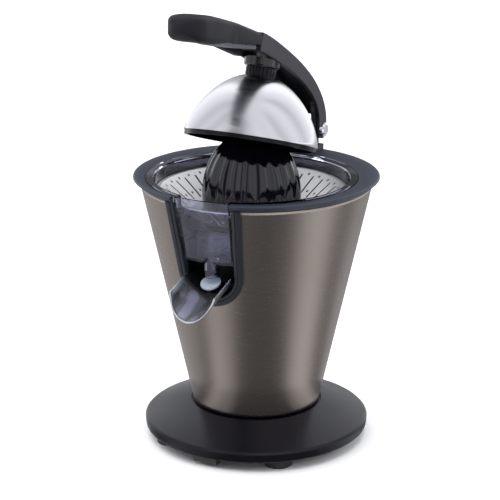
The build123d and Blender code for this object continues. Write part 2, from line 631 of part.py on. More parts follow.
def train_group():
    """Two-step gear train, the spindle with its bushes, and the gearbox round them."""
    wheel_gap = 180 / WHEEL_TEETH
    to_idler = heading(0, BOWL_Y, IDLER_X, IDLER_Y)
    to_motor = heading(IDLER_X, IDLER_Y, 0, MOTOR_Y)
    axle_r = 2.5
    save("output_gear", gear(WHEEL_TEETH, to_idler + wheel_gap, 134, 141, 0, BOWL_Y, SPINDLE_R)
         + tube(9, SPINDLE_R, 141, 145, 0, BOWL_Y))
    save("idler_pinion", gear(PINION_TEETH, to_idler + 180, 129.6, 143, IDLER_X, IDLER_Y,
                              axle_r + RUNNING))
    save("idler_wheel", gear(WHEEL_TEETH, to_motor + wheel_gap, 124, 129.6, IDLER_X, IDLER_Y,
                             axle_r + RUNNING))
    save("motor_pinion", gear(PINION_TEETH, to_motor + 180, 122, 131, 0, MOTOR_Y, MOTOR_SHAFT_R))
    save("idler_axle", cylinder(axle_r, GEARBOX_Z0 + 1, GEARBOX_Z1 + 1.5, IDLER_X, IDLER_Y))

    save("drive_spindle", cylinder(SPINDLE_R, 123.3, 238, 0, BOWL_Y))
    save("lower_bush", tube(7, SPINDLE_R + RUNNING, GEARBOX_Z1 + 0.2, 156, 0, BOWL_Y))
    save("upper_bush", tube(7, SPINDLE_R + RUNNING, 172, 187.5, 0, BOWL_Y))
    save("shaft_seal", tube(7, SPINDLE_R + 2 * RUNNING, 187.5, 190, 0, BOWL_Y)
         + tube(8.6, SPINDLE_R + 2 * RUNNING, 190, 191.6, 0, BOWL_Y))

    housing = cylinder(GEARBOX_R, GEARBOX_Z0, GEARBOX_Z1, GEARBOX_X, GEARBOX_Y)
    housing -= cylinder(GEARBOX_R - 2.5, 119.5, 160, GEARBOX_X, GEARBOX_Y)
    housing += cylinder(9, 106, 119.5, 0, BOWL_Y)
    housing -= cylinder(6.5, 108, 121, 0, BOWL_Y)
    housing -= cylinder(1.7, 100, 110, 0, BOWL_Y)
    housing -= cylinder(4, 110, 125, 0, MOTOR_Y)
    housing += cylinder(5, 119, 123, IDLER_X, IDLER_Y)
    housing -= cylinder(axle_r, GEARBOX_Z0 + 1, 130, IDLER_X, IDLER_Y)
    save("gearbox_housing", housing)

    cover = cylinder(GEARBOX_R, GEARBOX_Z1, 150, GEARBOX_X, GEARBOX_Y)
    cover += cylinder(9.5, 150, 154, 0, BOWL_Y)
    cover -= cylinder(7, GEARBOX_Z1 + 0.2, 160, 0, BOWL_Y)
    cover -= cylinder(SPINDLE_R + 1, 140, 150, 0, BOWL_Y)
    cover -= cylinder(axle_r, 140, GEARBOX_Z1 + 1.5, IDLER_X, IDLER_Y)
    save("gearbox_cover", cover)
    screws = [Pos(GEARBOX_X, GEARBOX_Y, 0) * Rot(0, 0, a) * (cylinder(2.6, 150, 151.6, 44))
              for a in (20, 110, 200, 290)]
    save("gearbox_screws", *screws)


def switch_group():
    """The spindle's plunger, its return spring and the switch below it."""
    spring_z0 = 108.0
    plunger_foot_z = 119.4
    plunger = cylinder(6.3, plunger_foot_z, 123.3, 0, BOWL_Y)
    plunger += cylinder(1.5, 104.5, plunger_foot_z, 0, BOWL_Y)
    save("switch_plunger", plunger)
    coils, wire_r, coil_r = 5, 0.6, 4.6
    length = plunger_foot_z - spring_z0 - 2 * wire_r - 0.2
    helix = Helix(pitch=length / coils, height=length, radius=coil_r)
    spring = sweep(Plane(helix @ 0, z_dir=helix % 0) * Circle(wire_r), path=helix, is_frenet=True)
    save("return_spring", Pos(0, BOWL_Y, spring_z0 + wire_r + 0.1) * spring)
    save("microswitch", block(-5, 5, -18, 1, 90, 100) + cylinder(1.4, 100, 102.2, 0, BOWL_Y))
    bracket = block(-7, 7, -20, -18, 88, GEARBOX_Z0) + block(-7, 7, -18, -9.5, 115, GEARBOX_Z0)
    save("switch_bracket", bracket - cylinder(9, 100, 120, 0, BOWL_Y))


def motor_group():
    """Fan-cooled motor hung under the gearbox."""
    can = tube(MOTOR_R, MOTOR_R - 1.5, MOTOR_Z0, MOTOR_Z1, 0, MOTOR_Y)
    can += tube(MOTOR_R, MOTOR_SHAFT_R + RUNNING, MOTOR_Z1 - 2, MOTOR_Z1, 0, MOTOR_Y)
    save("motor_can", can)
    save("motor_end_cap", tube(MOTOR_R - 1.5, MOTOR_SHAFT_R + RUNNING, MOTOR_Z0, MOTOR_Z0 + 3, 0, MOTOR_Y))
    save("motor_stator", tube(MOTOR_R - 1.5, 18, MOTOR_Z0 + 10, MOTOR_Z1 - 10, 0, MOTOR_Y))
    save("motor_rotor", tube(17.2, MOTOR_SHAFT_R, MOTOR_Z0 + 9, MOTOR_Z1 - 9, 0, MOTOR_Y))
    save("motor_shaft", cylinder(MOTOR_SHAFT_R, 44, 131, 0, MOTOR_Y))
    fan = tube(7, MOTOR_SHAFT_R, 46, 54, 0, MOTOR_Y) + tube(20, 6.9, 46, 47.2, 0, MOTOR_Y)
    for blade in around(block(6.5, 19.5, -0.5, 0.5, 47, 54), 9):
        fan += Pos(0, MOTOR_Y, 0) * blade
    save("cooling_fan", fan)
    plate = cylinder(MOTOR_R, MOTOR_Z1, MOTOR_Z1 + 2.5, 0, MOTOR_Y)
    plate -= cylinder(5, 100, 110, 0, MOTOR_Y)
    for x, y in [(-18.8, 20.7), (18.8, 20.7), (6.8, 46.3)]:
        plate += cylinder(3, MOTOR_Z1 + 2, GEARBOX_Z0, x, y)
    save("motor_mount", plate)


def build_all():
    base_group()
    body_group()
    bezel()
    bowl_group()
    spout_group()
    arm_group()
    dome_group()
    hinge_group()
    train_group()
    switch_group()
    motor_group()


build_all()
os.makedirs("parts", exist_ok=True)
for name, shape in NODES.items():
    export_step(shape, f"parts/{name}.step")
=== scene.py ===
import json
import math

import bmesh
import bpy
from mathutils import Matrix, Vector


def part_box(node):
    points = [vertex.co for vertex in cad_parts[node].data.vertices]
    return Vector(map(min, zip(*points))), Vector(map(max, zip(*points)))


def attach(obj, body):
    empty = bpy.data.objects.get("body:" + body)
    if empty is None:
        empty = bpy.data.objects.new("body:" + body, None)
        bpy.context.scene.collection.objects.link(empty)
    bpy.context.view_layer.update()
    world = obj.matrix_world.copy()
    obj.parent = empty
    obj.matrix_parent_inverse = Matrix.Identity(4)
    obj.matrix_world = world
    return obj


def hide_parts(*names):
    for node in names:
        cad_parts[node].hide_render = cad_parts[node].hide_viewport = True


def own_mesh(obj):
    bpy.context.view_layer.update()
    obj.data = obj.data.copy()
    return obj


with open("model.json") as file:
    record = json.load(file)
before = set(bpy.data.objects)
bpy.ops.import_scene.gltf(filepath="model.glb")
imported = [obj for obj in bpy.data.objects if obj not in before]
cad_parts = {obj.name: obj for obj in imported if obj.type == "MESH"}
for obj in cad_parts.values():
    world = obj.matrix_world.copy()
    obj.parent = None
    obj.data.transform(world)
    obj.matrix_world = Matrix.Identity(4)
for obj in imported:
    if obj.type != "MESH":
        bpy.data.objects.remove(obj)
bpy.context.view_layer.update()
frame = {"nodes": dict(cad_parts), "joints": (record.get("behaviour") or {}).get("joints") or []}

# ---------------------------------------------------------------- places and sizes, from the frame
# Outlines are in millimetres about a local axis, with heights above a level that lies LIFT over the floor.
# A place is the matrix of that axis in the row frame.

MM = 0.001
CONE_Z0 = 27.5
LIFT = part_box("body_shell")[0].z / MM - CONE_Z0


def box_mm(node):
    low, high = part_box(node)
    drop = Vector((0, 0, LIFT))
    return low / MM - drop, high / MM - drop


def joint(name):
    return next(j for j in frame["joints"] if j["name"] == name)


def at(x, y, z):
    """Place at a point given in millimetres."""
    return Matrix.Translation(Vector((x, y, z)) * MM)


base_low, base_high = box_mm("base_plate")
bowl_low, bowl_high = box_mm("strainer")
AXIS_Y = (base_low.y + base_high.y) / 2
BOWL_Y = (bowl_low.y + bowl_high.y) / 2
BODY = at(0, AXIS_Y, LIFT)
BOWL = at(0, BOWL_Y, LIFT)

rim = Vector(joint("dome_turn")["pos_m"])
dome_axis = Vector(joint("dome_turn")["axis"]).normalized()
DOME = Matrix.Translation(rim) @ dome_axis.to_track_quat("Z", "Y").to_matrix().to_4x4()

BASE_R = base_high.x - 0.03
FLOOR_GAP = base_low.z
CONE_Z1 = box_mm("body_shell")[1].z
CONE_R1 = box_mm("body_shell")[1].x
CONE_R0 = 52.5
RING_R = box_mm("top_ring")[1].x
RING_TOP = box_mm("top_ring")[1].z
RING_SIDE_Z = 214.4
RING_HOLE_R = 86.0
REAMER_R = box_mm("reamer")[1].x
REAMER_Z0, REAMER_Z1 = box_mm("reamer")[0].z, box_mm("reamer")[1].z
ARM_HALF = 16.0


# ---------------------------------------------------------------- mesh helpers

def make(name, verts, faces, place=Matrix(), sharp_deg=32):
    """Mesh object from points in millimetres about a place, smooth except at sharp edges."""
    mesh = bpy.data.meshes.new(name)
    mesh.from_pydata([Vector(v) * MM for v in verts], [], faces)
    bm = bmesh.new()
    bm.from_mesh(mesh)
    bmesh.ops.remove_doubles(bm, verts=bm.verts, dist=2e-6)
    bmesh.ops.dissolve_degenerate(bm, dist=1e-6, edges=bm.edges)
    bmesh.ops.recalc_face_normals(bm, faces=bm.faces)
    bm.to_mesh(mesh)
    bm.free()
    mesh.shade_smooth()
    mesh.set_sharp_from_angle(angle=math.radians(sharp_deg))
    obj = bpy.data.objects.new(name, mesh)
    bpy.context.scene.collection.objects.link(obj)
    obj.matrix_world = place
    return obj


def loft(rings, around=True, along=False, caps=False):
    """Faces between rings of points. around closes each ring, along joins the last ring to the first.

    It counts on as many points in every ring as in the first.
    """
    count = len(rings[0])
    verts = [p for ring in rings for p in ring]
    faces = []
    for i in range(len(rings) if along else len(rings) - 1):
        a, b = i * count, (i + 1) % len(rings) * count
        for k in range(count if around else count - 1):
            n = (k + 1) % count
            faces.append((a + k, a + n, b + n, b + k))
    if caps:
        faces.append(tuple(range(count)))
        faces.append(tuple(range(len(verts) - count, len(verts))))
    return verts, faces


def rounded(points, closed=True, step_deg=14):
    """Replace corners given as (a, b, radius) by arcs; corners given as (a, b) stay sharp."""
    result, total = [], len(points)
    for i, point in enumerate(points):
        corner = Vector(point[:2])
        radius = point[2] if len(point) > 2 else 0
        at_end = not closed and i in (0, total - 1)
        if radius <= 0 or at_end:
            result.append(tuple(corner))
            continue
        to_last = Vector(points[i - 1][:2]) - corner
        to_next = Vector(points[(i + 1) % total][:2]) - corner
        half = to_last.angle(to_next) / 2
        if half > math.radians(89):
            result.append(tuple(corner))
            continue
        reach = min(radius / math.tan(half), 0.48 * to_last.length, 0.48 * to_next.length)
        radius = reach * math.tan(half)
        middle = corner + (to_last.normalized() + to_next.normalized()).normalized() * radius / math.sin(half)
        start = corner + to_last.normalized() * reach - middle
        end = corner + to_next.normalized() * reach - middle
        turn = start.angle_signed(end)
        steps = max(2, math.ceil(abs(math.degrees(turn)) / step_deg))
        for k in range(steps + 1):
            angle = -turn * k / steps
            c, s = math.cos(angle), math.sin(angle)
            result.append((middle.x + start.x * c - start.y * s, middle.y + start.x * s + start.y * c))
    return result


def lathe(name, outline, place=Matrix(), segments=160, closed=True, sharp_deg=32):
    """Turn an (r, z) outline about the place's Z axis."""
    rings = []
    for i in range(segments):
        angle = math.tau * i / segments
        rings.append([(r * math.cos(angle), r * math.sin(angle), z) for r, z in outline])
    return make(name, *loft(rings, around=closed, along=True), place, sharp_deg)


def prism(name, outline, x0, x1, place=Matrix(), bevel=0.0):
    """A plate along X with a (y, z) outline, with rounded edges."""
    rings = [[(x, y, z) for y, z in outline] for x in (x0, x1)]
    obj = make(name, *loft(rings, caps=True), place)
    if bevel:
        bevelled(obj, bevel)
    return obj


def bevelled(obj, width, segments=3, angle=30):
    """Round the sharp edges of a mesh for good."""
    modifier = obj.modifiers.new("bevel", "BEVEL")
    modifier.width = width * MM
    modifier.segments = segments
    modifier.limit_method = "ANGLE"
    modifier.angle_limit = math.radians(angle)
    modifier.harden_normals = False
    baked(obj)
    obj.data.shade_smooth()
    obj.data.set_sharp_from_angle(angle=math.radians(40))
    return obj


def baked(obj):
    """Turn an object's modifiers into its own mesh."""
    graph = bpy.context.evaluated_depsgraph_get()
    graph.update()
    mesh = bpy.data.meshes.new_from_object(obj.evaluated_get(graph))
    obj.modifiers.clear()
    obj.data = mesh
    return obj


def smooth_line(points, steps=12):
    """Catmull-Rom curve through 2-D points."""
    pts = [Vector(p) for p in points]
    pts = [2 * pts[0] - pts[1]] + pts + [2 * pts[-1] - pts[-2]]
    line = []
    for i in range(1, len(pts) - 2):
        a, b, c, d = pts[i - 1:i + 3]
        for k in range(steps):
            t = k / steps
            line.append((2 * b + (c - a) * t + (2 * a - 5 * b + 4 * c - d) * t * t
                         + (3 * b - a - 3 * c + d) * t * t * t) / 2)
    return line + [pts[-2]]


def resample(line, shares):
    """Points of a polyline at given shares of its length."""
    lengths = [0.0]
    for a, b in zip(line, line[1:]):
        lengths.append(lengths[-1] + (b - a).length)
    result, i = [], 0
    for share in shares:
        target = share * lengths[-1]
        while i < len(line) - 2 and lengths[i + 1] < target:
            i += 1
        span = lengths[i + 1] - lengths[i]
        t = 0 if span == 0 else (target - lengths[i]) / span
        result.append(line[i].lerp(line[i + 1], min(1.0, max(0.0, t))))
    return result


def finish_piece(obj, body, slot, material, *nodes):
    """Give a new piece its material and its body, and hide the CAD nodes that it stands for. The slot is not
    used.
    """
    obj.data.materials.clear()
    obj.data.materials.append(material)
    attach(obj, body)
    if nodes:
        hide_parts(*nodes)
    return obj


# ---------------------------------------------------------------- materials

def principled(name, color, roughness, metallic=0.0, **sockets):
    """A material with one Principled shader; sockets are named with underscores for spaces."""
    material = bpy.data.materials.new(name)
    material.use_nodes = True
    shader = material.node_tree.nodes["Principled BSDF"]
    shader.inputs["Base Color"].default_value = (*color, 1)
    shader.inputs["Roughness"].default_value = roughness
    shader.inputs["Metallic"].default_value = metallic
    for key, value in sockets.items():
        shader.inputs[key.replace("_", " ")].default_value = value
    material.diffuse_color = (*color, 1)
    return material


class Nodes:
    """Short calls for adding nodes to a material."""

    def __init__(self, material):
        self.tree = material.node_tree
        self.shader = self.tree.nodes["Principled BSDF"]

    def add(self, kind, inputs=(), **settings):
        node = self.tree.nodes.new(kind)
        for key, value in settings.items():
            setattr(node, key, value)
        for key, value in dict(inputs).items():
            if isinstance(value, bpy.types.NodeSocket):
                self.tree.links.new(value, node.inputs[key])
            else:
                node.inputs[key].default_value = value
        return node

    def math(self, operation, a, b=0.0):
        return self.add("ShaderNodeMath", {0: a, 1: b}, operation=operation).outputs[0]

    def remap(self, value, low, high, to_low, to_high):
        node = self.add("ShaderNodeMapRange", {0: value, 1: low, 2: high, 3: to_low, 4: to_high})
        return node.outputs[0]

    def object_point(self):
        return self.add("ShaderNodeTexCoord").outputs["Object"]

    def noise(self, point, scale, detail=2.0, rough=0.5):
        node = self.add("ShaderNodeTexNoise", {"Vector": point, "Scale": scale, "Detail": detail,
                                               "Roughness": rough})
        return node.outputs[0]

    def tint(self, factor, dark, light):
        """Mix two colours by a factor into the base colour."""
        mix = self.add("ShaderNodeMix", data_type="RGBA")
        self.tree.links.new(factor, mix.inputs[0])
        mix.inputs[6].default_value = (*dark, 1)
        mix.inputs[7].default_value = (*light, 1)
        self.tree.links.new(mix.outputs[2], self.shader.inputs["Base Color"])

    def roughness(self, factor, low, high):
        self.tree.links.new(self.remap(factor, 0.3, 0.7, low, high), self.shader.inputs["Roughness"])

    def bump(self, height, strength, distance_mm):
        node = self.add("ShaderNodeBump", {"Height": height, "Strength": strength,
                                           "Distance": distance_mm * MM})
        self.tree.links.new(node.outputs[0], self.shader.inputs["Normal"])

    def soft_edges(self, radius_mm):
        """Shade sharp edges as if they were rounded."""
        node = self.add("ShaderNodeBevel", {"Radius": radius_mm * MM}, samples=4)
        bump = next(x for x in self.tree.nodes if x.bl_idname == "ShaderNodeBump")
        self.tree.links.new(node.outputs[0], bump.inputs["Normal"])


def scaled(color, factor):
    return tuple(min(1.0, c * factor) for c in color)


def moulded(name, color, roughness, grain=900.0, strength=0.12, spread_of=0.05, edge_mm=0.0, **sockets):
    """Moulded plastic or rubber: fine grain, faint cloudiness in colour and gloss."""
    material = principled(name, color, roughness, **sockets)
    n = Nodes(material)
    point = n.object_point()
    cloud = n.noise(point, 38.0, 3.0)
    fine = n.noise(point, grain, 2.0)
    n.tint(cloud, scaled(color, 0.86), scaled(color, 1.14))
    n.roughness(cloud, roughness - spread_of, roughness + spread_of)
    n.bump(fine, strength, 0.05)
    if edge_mm:
        n.soft_edges(edge_mm)
    return material


def turned_metal(name, color, roughness, line_scale, tall, anisotropy=0.7, contrast=0.10, bump=0.05):
    """Sheet metal brushed round the object's Z axis. tall is how the lines move per metre of z and of r."""
    material = principled(name, color, roughness, 1.0, Anisotropic=anisotropy)
    n = Nodes(material)
    point = n.add("ShaderNodeSeparateXYZ", {0: n.object_point()})
    x, y, z = point.outputs
    flat = n.add("ShaderNodeCombineXYZ", {0: x, 1: y}).outputs[0]
    round_point = n.add("ShaderNodeVectorMath", {0: flat}, operation="NORMALIZE").outputs[0]
    length = n.add("ShaderNodeVectorMath", {0: flat}, operation="LENGTH").outputs["Value"]
    height = n.math("ADD", n.math("MULTIPLY", z, tall[0]), n.math("MULTIPLY", length, tall[1]))
    lift = n.add("ShaderNodeCombineXYZ", {2: height}).outputs[0]
    lines_at = n.add("ShaderNodeVectorMath", {0: round_point, 1: lift}, operation="ADD").outputs[0]
    lines = n.noise(lines_at, line_scale, 4.0, 0.65)
    broad = n.noise(n.object_point(), 14.0, 2.0)
    n.tint(lines, scaled(color, 1 - contrast), scaled(color, 1 + contrast))
    mixed = n.math("ADD", n.math("MULTIPLY", lines, 0.75), n.math("MULTIPLY", broad, 0.25))
    n.roughness(mixed, roughness - 0.04, roughness + 0.05)
    n.bump(lines, bump, 0.02)
    tangent = n.add("ShaderNodeTangent", direction_type="RADIAL", axis="Z")
    n.tree.links.new(tangent.outputs[0], n.shader.inputs["Tangent"])
    return material


def straight_metal(name, color, roughness, scale=(40.0, 2200.0, 2200.0), anisotropy=0.5, contrast=0.08):
    """Metal brushed or rolled along the object's X axis."""
    material = principled(name, color, roughness, 1.0, Anisotropic=anisotropy)
    n = Nodes(material)
    point = n.add("ShaderNodeMapping", {0: n.object_point(), 3: scale}).outputs[0]
    lines = n.noise(point, 1.0, 3.0, 0.6)
    cloud = n.noise(n.object_point(), 25.0, 2.0)
    n.tint(lines, scaled(color, 1 - contrast), scaled(color, 1 + contrast))
    n.roughness(cloud, roughness - 0.04, roughness + 0.05)
    n.bump(lines, 0.05, 0.02)
    return material


def clear_plastic(name, color, roughness):
    """Clear tinted plastic with a faint wave in its faces."""
    material = principled(name, color, roughness, Transmission_Weight=1.0, IOR=1.49)
    n = Nodes(material)
    wave = n.noise(n.object_point(), 26.0, 1.0)
    n.bump(wave, 0.03, 0.15)
    return material


STEEL = turned_metal("brushed_bronze_steel", (0.43, 0.375, 0.33), 0.24, 9.0, (330.0, 0.0), 0.86, 0.14, 0.02)
DOME_METAL = turned_metal("spun_steel", (0.78, 0.78, 0.80), 0.19, 2.4, (900.0, -900.0), 0.88, 0.035, 0.0)
SPOUT_METAL = straight_metal("rolled_steel", (0.92, 0.92, 0.94), 0.26, (9.0, 420.0, 420.0), 0.0, 0.22)
SIEVE_METAL = turned_metal("sieve_steel", (0.74, 0.74, 0.73), 0.42, 5.0, (150.0, 150.0), 0.2, 0.05)
RING_PLASTIC = moulded("ring_slate", (0.020, 0.025, 0.038), 0.42, 1400.0, 0.25)
BEZEL_PLASTIC = moulded("bezel_black", (0.013, 0.015, 0.022), 0.32, 1200.0, 0.08)
BASE_PLASTIC = moulded("base_black", (0.0035, 0.0035, 0.0065), 0.24, 1500.0, 0.05, 0.03,
                       Specular_IOR_Level=0.32)
UNDER_PLASTIC = moulded("under_black", (0.02, 0.02, 0.02), 0.6, 900.0, 0.3)
RUBBER = moulded("foot_rubber", (0.012, 0.012, 0.013), 0.62, 700.0, 0.35)
GLOSS_BLACK = moulded("reamer_gloss", (0.0025, 0.0025, 0.005), 0.10, 90.0, 0.0, 0.02, Specular_IOR_Level=0.7)
COLLAR_BLACK = moulded("collar_gloss", (0.008, 0.008, 0.009), 0.13, 90.0, 0.01, 0.03, Coat_Weight=0.4)
FAIRING_BLACK = moulded("fairing_black", (0.005, 0.005, 0.007), 0.55, 800.0, 0.1, 0.03,
                        Specular_IOR_Level=0.12)
DULL_BLACK = moulded("well_black", (0.0035, 0.0035, 0.005), 0.42, 800.0, 0.15, 0.04, Specular_IOR_Level=0.25)
LINER_BLACK = moulded("liner_black", (0.004, 0.004, 0.006), 0.16, 600.0, 0.02, 0.04, Specular_IOR_Level=0.22)
SOFT_GRIP = moulded("grip_soft", (0.0065, 0.0065, 0.011), 0.50, 1700.0, 0.3, 0.04, Specular_IOR_Level=0.30)
ARM_PAINT = moulded("arm_grey", (0.015, 0.0145, 0.021), 0.38, 1500.0, 0.15, 0.04, 1.5,
                    Specular_IOR_Level=0.38)
STRIP_GREY = moulded("strip_grey", (0.060, 0.060, 0.074), 0.36, 1500.0, 0.10, 0.04)
DISC_GREY = moulded("disc_grey", (0.40, 0.46, 0.53), 0.38, 900.0, 0.1)
CHROME = straight_metal("pin_chrome", (0.86, 0.86, 0.87), 0.09, anisotropy=0.0, contrast=0.02)
BOWL_CLEAR = clear_plastic("bowl_smoke", (0.66, 0.68, 0.84), 0.03)
MACHINED = straight_metal("machined_steel", (0.55, 0.55, 0.56), 0.30, anisotropy=0.0)
BRASS = straight_metal("sintered_bronze", (0.55, 0.40, 0.20), 0.42, anisotropy=0.0)
GEAR_WHITE = moulded("gear_natural", (0.74, 0.72, 0.66), 0.40, 900.0, 0.1)


# ---------------------------------------------------------------- base, body, bezel and ring

WINDOW_ARC_Z = 158.0
WINDOW_HALF_DEG = 18.0
BEZEL_IN, BEZEL_OUT = 15.6, 20.2
RING_GAP_IN_DEG, RING_GAP_OUT_DEG = 17.6, 15.07
BODY_SEAT_R = 48.2


def cone_radius(z):
    return CONE_R0 + (z - CONE_Z0) * (CONE_R1 - CONE_R0) / (CONE_Z1 - CONE_Z0)


def front(radius, angle, z):
    """Point at an angle from the front (-Y) towards +X."""
    return (radius * math.sin(angle), -radius * math.cos(angle), z)


def base_disc():
    """Round base: a shallow cone with a raised seat for the body and a thin rim."""
    outline = rounded([(6, 24.6), (6, 27), (BODY_SEAT_R, 27), (BODY_SEAT_R, 34), (50.6, 34), (50.6, 26.8),
                       (54.6, 26.8, 0.8),
                       (BASE_R - 1.6, 14.1, 1.0), (BASE_R, 12.4, 0.9), (BASE_R - 0.4, FLOOR_GAP + 1, 1.0),
                       (BASE_R - 1.6, FLOOR_GAP, 0.5), (88.6, FLOOR_GAP, 0.4), (88.8, 10.6), (50, 23.6),
                       (BODY_SEAT_R, 24.6)])
    obj = lathe("base_disc", outline, BODY, 224, sharp_deg=40)
    finish_piece(obj, "stand", "base_black", BASE_PLASTIC, "base_plate")


def body_cone():
    """Steel cone with its window cut out."""
    sine = math.sin(math.radians(WINDOW_HALF_DEG))
    arc_x = cone_radius(WINDOW_ARC_Z) * sine
    heights = [CONE_Z0 + (WINDOW_ARC_Z - arc_x - CONE_Z0) * k / 40 for k in range(40)]
    heights += [WINDOW_ARC_Z - arc_x * math.cos(math.pi / 2 * k / 28) for k in range(28)]
    heights += [WINDOW_ARC_Z + (CONE_Z1 - WINDOW_ARC_Z) * k / 14 for k in range(15)]
    rings = []
    for z in heights:
        radius = cone_radius(z)
        half = radius * sine
        if z < WINDOW_ARC_Z:
            half = math.sqrt(max(0.0, arc_x ** 2 - (WINDOW_ARC_Z - z) ** 2))
        start = math.asin(half / radius)
        rings.append([front(radius, start + (math.tau - 2 * start) * k / 240, z) for k in range(241)])
    obj = make("steel_cone", *loft(rings, around=False), BODY, 60)
    solid = obj.modifiers.new("thickness", "SOLIDIFY")
    solid.thickness = 0.8 * MM
    solid.offset = -1
    baked(obj)
    finish_piece(obj, "stand", "body_steel", STEEL, "body_shell")


def window_frame():
    """Black U frame round the window: a broad band, a groove and a thin inner band."""
    section = rounded([(BEZEL_OUT, -0.6), (BEZEL_OUT, 2.4, 0.3), (17.5, 2.4, 0.2), (17.42, 1.5), (17.2, 1.5),
                       (17.12, 2.1, 0.15), (BEZEL_IN, 1.5, 0.25), (BEZEL_IN, -4.0), (16.6, -4.0),
                       (16.6, -0.6)],
                      step_deg=30)
    steps = [("side", k / 12) for k in range(12)] + [("arc", k / 48) for k in range(49)]
    steps += [("other", k / 12) for k in range(1, 13)]
    rings = []
    for kind, share in steps:
        ring = []
        for half_deg, proud in section:
            sine = math.sin(math.radians(half_deg))
            arc_x = cone_radius(WINDOW_ARC_Z) * sine
            if kind == "arc":
                x, z = arc_x * math.cos(math.pi * share), WINDOW_ARC_Z - arc_x * math.sin(math.pi * share)
            else:
                up = 1 - share if kind == "side" else share
                z = WINDOW_ARC_Z + (RING_SIDE_Z - WINDOW_ARC_Z) * up
                x = cone_radius(z) * sine * (1 if kind == "side" else -1)
            angle = math.asin(x / cone_radius(z))
            ring.append(front(cone_radius(z) + proud, angle, z))
        rings.append(ring)
    obj = make("window_frame", *loft(rings, caps=True), BODY, 30)
    finish_piece(obj, "stand", "bezel_black", BEZEL_PLASTIC, "spout_bezel")


def past_gap(half_deg, share):
    """Angle at a share of the way round the body, from one side of the gap over the window to the other."""
    half = math.radians(half_deg)
    return half + (math.tau - 2 * half) * share


def top_ring():
    """Ring round the bowl: its hole is set forward of its outer edge, and it is open over the window."""
    shift = BOWL_Y - AXIS_Y
    rings = []
    for k in range(257):
        share = k / 256
        out_angle = past_gap(RING_GAP_OUT_DEG, share)
        in_angle = past_gap(RING_GAP_IN_DEG, share)
        ox, oy, _ = front(1, out_angle, 0)
        ix, iy, _ = front(RING_HOLE_R, in_angle, 0)
        iy += shift
        ring = []
        for name, depth, z in ring_section():
            if name == "i":
                dx, dy, _ = front(1, in_angle, 0)
                ring.append((ix + dx * depth, iy + dy * depth, z))
            else:
                ring.append((ox * (RING_R + depth), oy * (RING_R + depth), z))
        rings.append(ring)
    obj = make("top_ring_cover", *loft(rings, caps=True), BODY, 34)
    finish_piece(obj, "stand", "ring_slate", RING_PLASTIC, "top_ring")


def ring_section():
    """Corners of the ring's section: from its inner (i) or outer (o) edge, with an offset and a height."""
    top = RING_TOP
    return [("i", 0, RING_SIDE_Z), ("i", 0, top - 1.0), ("i", 0.3, top - 0.3), ("i", 1.0, top),
            ("o", -1.6, top), ("o", -0.7, top - 0.2), ("o", -0.2, top - 0.7), ("o", 0, top - 1.4),
            ("o", -4.2, RING_SIDE_Z + 0.4), ("o", -4.6, RING_SIDE_Z)]


base_disc()
body_cone()
window_frame()
top_ring()


# ---------------------------------------------------------------- reamer

GROOVE_PITCH = math.radians(18.0)
FIRST_GROOVE = math.radians(14.4)
GROOVE_LOW = 206.5
WIDEST_GROOVE = 5.2
SKIRT_TOP = 205.0
REAMER_RISE = REAMER_Z1 - SKIRT_TOP


def reamer_profile():
    """(r, z) line of the reamer without its grooves: an upright skirt, then a curve in to the tip."""
    profile = [(REAMER_R, REAMER_Z0 + k * 1.5) for k in range(7)]
    profile += [(REAMER_R, 200.4 + k * 0.46) for k in range(10)]
    for k in range(1, 74):
        t = math.pi / 2 * k / 74
        profile.append((REAMER_R * math.cos(t) ** 0.94, SKIRT_TOP + REAMER_RISE * math.sin(t)))
    return profile


def groove_depth(radius, z, angle):
    """Depth of the nearest groove at a point of the reamer; 0 between the grooves."""
    index = round((angle - FIRST_GROOVE) / GROOVE_PITCH)
    off = abs(angle - FIRST_GROOVE - index * GROOVE_PITCH) * radius
    long_one = index % 2 == 0
    end_radius, start, deepest = (4.5, 0, 1.7) if long_one else (13.0, 3.5, 1.1)
    gap = radius * GROOVE_PITCH
    width = min(WIDEST_GROOVE, 0.46 * gap * (1.0 if radius > 16 or not long_one else 1.4))
    low_end = max(0.0, min(1.0, (z - GROOVE_LOW - start) / 9.0))
    half = width * math.sqrt(1 - (1 - low_end) ** 2)
    if half <= 0.01 or off >= half:
        return 0.0
    fade = max(0.0, min(1.0, (radius - end_radius) / 9.0)) ** 0.6
    bowl = math.cos(math.pi / 2 * off / half) ** 2
    return deepest * fade * (width / WIDEST_GROOVE) * (half / width) * bowl


def close_above(obj, height):
    """Fill the open edge of a mesh that lies above a height."""
    bm = bmesh.new()
    bm.from_mesh(obj.data)
    top = [e for e in bm.edges if e.is_boundary and e.verts[0].co.z > height * MM]
    bmesh.ops.contextual_create(bm, geom=top)
    bm.to_mesh(obj.data)
    bm.free()
    obj.data.shade_smooth()


def reamer_cone():
    """Ribbed reamer: twenty round grooves, every second one shorter, above a smooth skirt."""
    columns = 20 * 26
    angles = [FIRST_GROOVE + math.tau * c / columns for c in range(columns)]
    rings = []
    for radius, z in reamer_profile():
        lean = math.atan2(z - SKIRT_TOP, REAMER_RISE) if z > SKIRT_TOP else 0.0
        ring = []
        for angle in angles:
            depth = groove_depth(radius, z, angle)
            ring.append(front(max(0.5, radius - depth * math.cos(lean * 0.8)), angle,
                              z - depth * math.sin(lean * 0.8) * 0.6))
        rings.append(ring)
    rings.append([front(1.2, angle, REAMER_Z1 - 0.02) for angle in angles])
    obj = make("reamer_cone", *loft(rings), BOWL, 80)
    close_above(obj, REAMER_Z1 - 3)
    finish_piece(obj, "reamer", "reamer_black", GLOSS_BLACK, "reamer")


reamer_cone()


# ---------------------------------------------------------------- press dome, nut and collar

DOME_R, DOME_H, DOME_NECK_R = 54.3, 52.8, 12.0


def dome_radius(height):
    return DOME_R * math.sqrt(max(0.0, 1 - (height / DOME_H) ** 1.45))


